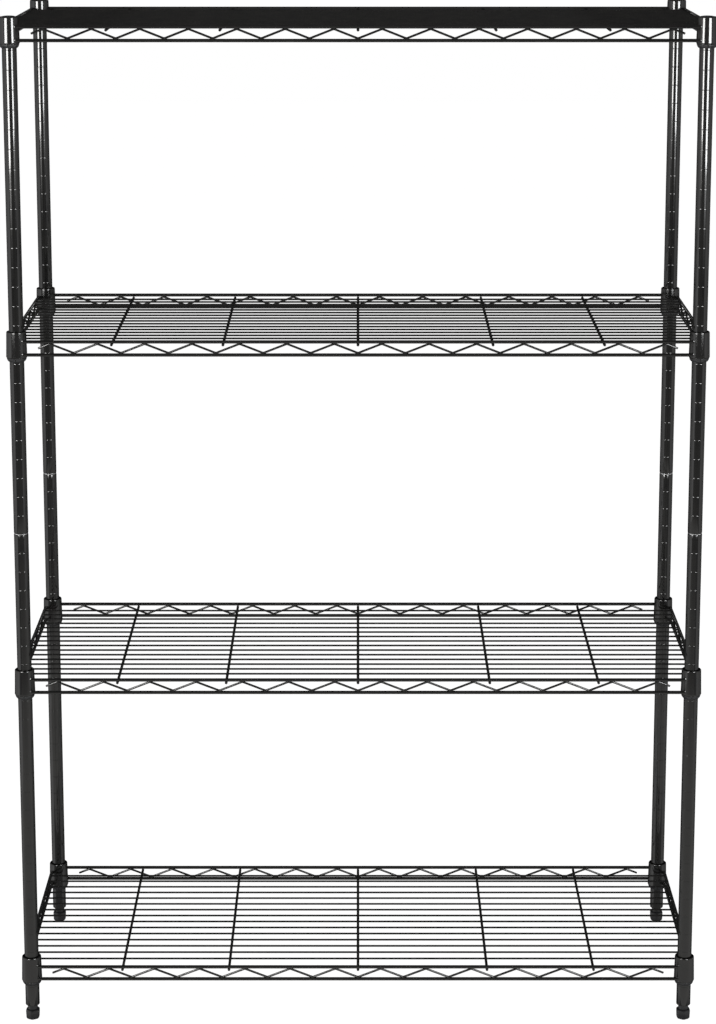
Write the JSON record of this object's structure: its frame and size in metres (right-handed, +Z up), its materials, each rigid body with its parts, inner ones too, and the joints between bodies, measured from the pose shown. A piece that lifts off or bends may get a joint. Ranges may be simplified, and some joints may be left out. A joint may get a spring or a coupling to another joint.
{
  "type": "wire shelving rack",
  "caption": "Free-standing wire shelving rack: grooved round posts, lift-off wire shelves wedged on split sleeves, and screw-in levelling feet.",
  "frame": {"origin": "on the floor at the centre of the footprint, with the levelling feet screwed all the way in", "axes": "+Z up, +X to the right seen from the front, +Y to the back"},
  "size_m": [0.9144, 0.3556, 1.361],
  "materials": {
    "black_coated_steel": "semi-gloss black powder coat",
    "black_plastic": "satin black moulded plastic",
    "zinc_steel": "bright zinc plate"
  },
  "bodies": {
    "posts": {"upper_tube_front_left": "black_coated_steel", "lower_tube_front_left": "black_coated_steel", "joint_stud_front_left": "zinc_steel", "end_cap_front_left": "black_plastic", "upper_tube_front_right": "black_coated_steel", "lower_tube_front_right": "black_coated_steel", "joint_stud_front_right": "zinc_steel", "end_cap_front_right": "black_plastic", "upper_tube_back_left": "black_coated_steel", "lower_tube_back_left": "black_coated_steel", "joint_stud_back_left": "zinc_steel", "end_cap_back_left": "black_plastic", "upper_tube_back_right": "black_coated_steel", "lower_tube_back_right": "black_coated_steel", "joint_stud_back_right": "zinc_steel", "end_cap_back_right": "black_plastic", "sleeve_1_front_left": "black_plastic", "sleeve_1_front_right": "black_plastic", "sleeve_1_back_left": "black_plastic", "sleeve_1_back_right": "black_plastic", "sleeve_2_front_left": "black_plastic", "sleeve_2_front_right": "black_plastic", "sleeve_2_back_left": "black_plastic", "sleeve_2_back_right": "black_plastic", "sleeve_3_front_left": "black_plastic", "sleeve_3_front_right": "black_plastic", "sleeve_3_back_left": "black_plastic", "sleeve_3_back_right": "black_plastic", "sleeve_4_front_left": "black_plastic", "sleeve_4_front_right": "black_plastic", "sleeve_4_back_left": "black_plastic", "sleeve_4_back_right": "black_plastic"},
    "foot_stem_front_left": {"foot_stem_front_left": "zinc_steel"},
    "foot_base_front_left": {"foot_base_front_left": "black_plastic"},
    "foot_stem_front_right": {"foot_stem_front_right": "zinc_steel"},
    "foot_base_front_right": {"foot_base_front_right": "black_plastic"},
    "foot_stem_back_left": {"foot_stem_back_left": "zinc_steel"},
    "foot_base_back_left": {"foot_base_back_left": "black_plastic"},
    "foot_stem_back_right": {"foot_stem_back_right": "zinc_steel"},
    "foot_base_back_right": {"foot_base_back_right": "black_plastic"},
    "shelf_1": {"shelf_1_deck": "black_coated_steel", "shelf_1_front_truss": "black_coated_steel", "shelf_1_back_truss": "black_coated_steel", "shelf_1_left_end": "black_coated_steel", "shelf_1_right_end": "black_coated_steel"},
    "shelf_2": {"shelf_2_deck": "black_coated_steel", "shelf_2_front_truss": "black_coated_steel", "shelf_2_back_truss": "black_coated_steel", "shelf_2_left_end": "black_coated_steel", "shelf_2_right_end": "black_coated_steel"},
    "shelf_3": {"shelf_3_deck": "black_coated_steel", "shelf_3_front_truss": "black_coated_steel", "shelf_3_back_truss": "black_coated_steel", "shelf_3_left_end": "black_coated_steel", "shelf_3_right_end": "black_coated_steel"},
    "shelf_4": {"shelf_4_deck": "black_coated_steel", "shelf_4_front_truss": "black_coated_steel", "shelf_4_back_truss": "black_coated_steel", "shelf_4_left_end": "black_coated_steel", "shelf_4_right_end": "black_coated_steel"}
  },
  "joints": [
    {"name": "shelf_1_lift", "type": "slide", "parent": "posts", "child": "shelf_1", "axis": [0, 0, 1], "range_m": [0, 0.3556]},
    {"name": "shelf_2_lift", "type": "slide", "parent": "posts", "child": "shelf_2", "axis": [0, 0, 1], "range_m": [0, 0.4064]},
    {"name": "shelf_3_lift", "type": "slide", "parent": "posts", "child": "shelf_3", "axis": [0, 0, 1], "range_m": [0, 0.3556]},
    {"name": "shelf_4_lift", "type": "slide", "parent": "posts", "child": "shelf_4", "axis": [0, 0, 1], "range_m": [0, 0.0762]},
    {"name": "foot_front_left_travel", "type": "slide", "parent": "posts", "child": "foot_stem_front_left", "axis": [0, 0, -1], "range_m": [0, 0.0143]},
    {"name": "foot_front_left_turn", "type": "hinge", "parent": "foot_stem_front_left", "child": "foot_base_front_left", "pos_m": [-0.4435, -0.1641, 0.01], "axis": [0, 0, -1], "range_deg": [0, 3240]},
    {"name": "foot_front_right_travel", "type": "slide", "parent": "posts", "child": "foot_stem_front_right", "axis": [0, 0, -1], "range_m": [0, 0.0143]},
    {"name": "foot_front_right_turn", "type": "hinge", "parent": "foot_stem_front_right", "child": "foot_base_front_right", "pos_m": [0.4435, -0.1641, 0.01], "axis": [0, 0, -1], "range_deg": [0, 3240]},
    {"name": "foot_back_left_travel", "type": "slide", "parent": "posts", "child": "foot_stem_back_left", "axis": [0, 0, -1], "range_m": [0, 0.0143]},
    {"name": "foot_back_left_turn", "type": "hinge", "parent": "foot_stem_back_left", "child": "foot_base_back_left", "pos_m": [-0.4435, 0.1641, 0.01], "axis": [0, 0, -1], "range_deg": [0, 3240]},
    {"name": "foot_back_right_travel", "type": "slide", "parent": "posts", "child": "foot_stem_back_right", "axis": [0, 0, -1], "range_m": [0, 0.0143]},
    {"name": "foot_back_right_turn", "type": "hinge", "parent": "foot_stem_back_right", "child": "foot_base_back_right", "pos_m": [0.4435, 0.1641, 0.01], "axis": [0, 0, -1], "range_deg": [0, 3240]}
  ],
  "couplings": [
    {"joint": "foot_front_left_travel", "follows": "foot_front_left_turn", "m_per_rad": 0.00025266},
    {"joint": "foot_front_right_travel", "follows": "foot_front_right_turn", "m_per_rad": 0.00025266},
    {"joint": "foot_back_left_travel", "follows": "foot_back_left_turn", "m_per_rad": 0.00025266},
    {"joint": "foot_back_right_travel", "follows": "foot_back_right_turn", "m_per_rad": 0.00025266}
  ]
}
